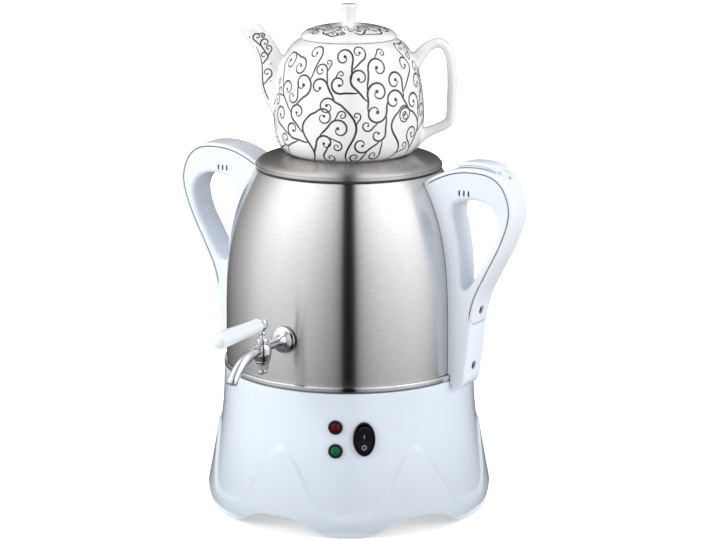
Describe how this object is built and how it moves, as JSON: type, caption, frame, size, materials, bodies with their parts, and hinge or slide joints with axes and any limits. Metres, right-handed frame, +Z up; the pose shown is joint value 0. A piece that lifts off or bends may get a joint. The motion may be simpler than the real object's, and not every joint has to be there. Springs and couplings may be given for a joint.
{
  "type": "electric samovar",
  "caption": "Brushed steel tank on a white heated base, with a lever tap, big side handles, and a porcelain teapot keeping warm on the lid.",
  "frame": {"origin": "centre of the feet on the table, on the tank's axis", "axes": "+Z up along the tank's axis, -Y out along the tap, +X towards the handle that has the thumb latch"},
  "size_m": [0.3206, 0.3262, 0.425],
  "materials": {
    "base_white": "glossy white plastic with a cool tint",
    "handle_white": "glossy white plastic",
    "cover_white": "glossy white plastic",
    "lever_white": "glossy white plastic",
    "plate_grey": "moulded, matt",
    "pad_rubber": "soft rubber",
    "bolt_steel": "zinc plated",
    "ring_chrome": "polished",
    "tank_steel": "brushed round the tank",
    "floor_steel": "plain sheet",
    "gasket_rubber": "silicone rubber",
    "heater_aluminium": "cast",
    "element_steel": "oxidised tube",
    "thermostat_black": "moulded",
    "block_cream": "moulded",
    "lead_brown": "insulated leads",
    "inlet_black": "moulded",
    "blade_brass": "plain",
    "switch_black": "glossy black",
    "rocker_black": "glossy black with pale grey marks for on and off",
    "bezel_dark": "dark glossy ring",
    "lens_red": "tinted lens, unlit",
    "lens_green": "tinted lens, unlit",
    "tap_chrome": "polished",
    "washer_rubber": "fibre and rubber",
    "washer_steel": "plain",
    "lid_steel": "spun, satin",
    "porcelain": "white glaze with a dark grey scroll ornament"
  },
  "bodies": {
    "base_and_tank": {"base_shell": "base_white", "base_plate": "plate_grey", "foot_pads": "pad_rubber", "base_nuts": "bolt_steel", "tank_studs": "bolt_steel", "trim_ring": "ring_chrome", "tank_wall": "tank_steel", "tank_floor": "floor_steel", "mouth_gasket": "gasket_rubber", "heater_plate": "heater_aluminium", "heating_element": "element_steel", "thermostat": "thermostat_black", "thermostat_strap": "bolt_steel", "strap_screws": "bolt_steel", "terminal_block": "block_cream", "wiring": "lead_brown", "inlet_housing": "inlet_black", "inlet_blades": "blade_brass", "inlet_screws": "bolt_steel", "switch_housing": "switch_black", "switch_terminals": "blade_brass", "lamp_bezels": "bezel_dark", "lamp_red": "lens_red", "lamp_green": "lens_green", "lamp_clips": "bolt_steel", "tap_body": "tap_chrome", "tap_washers": "washer_rubber", "tap_nut": "bolt_steel", "handle_right": "handle_white", "handle_left": "handle_white", "handle_cover_right": "cover_white", "handle_cover_left": "cover_white", "handle_screws": "bolt_steel", "handle_bolts": "bolt_steel", "bolt_washers": "washer_rubber", "latch_pin": "bolt_steel"},
    "tap_key": {"tap_plug": "tap_chrome", "plug_washer": "washer_steel", "plug_nut": "tap_chrome", "lever_rod": "tap_chrome", "lever_grip": "lever_white"},
    "rocker": {"switch_rocker": "rocker_black"},
    "latch": {"thumb_latch": "handle_white"},
    "lid": {"lid_dome": "lid_steel", "lid_skirt": "lid_steel"},
    "teapot": {"teapot_body": "porcelain", "teapot_upper": "porcelain", "teapot_floor": "porcelain", "teapot_spout": "porcelain", "teapot_handle": "porcelain"},
    "pot_lid": {"teapot_lid": "porcelain"}
  },
  "joints": [
    {"name": "tap_turn", "type": "hinge", "parent": "base_and_tank", "child": "tap_key", "pos_m": [0, -0.138, 0.1615], "axis": [0, 0, 1], "range_deg": [0, 90]},
    {"name": "rocker_tilt", "type": "hinge", "parent": "base_and_tank", "child": "rocker", "pos_m": [0.0621, -0.08329, 0.08158], "axis": [0.8017, 0.5977, 0], "range_deg": [-14, 0]},
    {"name": "latch_flip", "type": "hinge", "parent": "base_and_tank", "child": "latch", "pos_m": [0.14636, 0, 0.28871], "axis": [0, 1, 0], "range_deg": [0, 50]},
    {"name": "lid_lift", "type": "slide", "parent": "base_and_tank", "child": "lid", "axis": [0, 0, 1], "range_m": [0, 0.15]},
    {"name": "teapot_lift", "type": "slide", "parent": "lid", "child": "teapot", "axis": [0, 0, 1], "range_m": [0, 0.12]},
    {"name": "pot_lid_lift", "type": "slide", "parent": "teapot", "child": "pot_lid", "axis": [0, 0, 1], "range_m": [0, 0.06]}
  ]
}
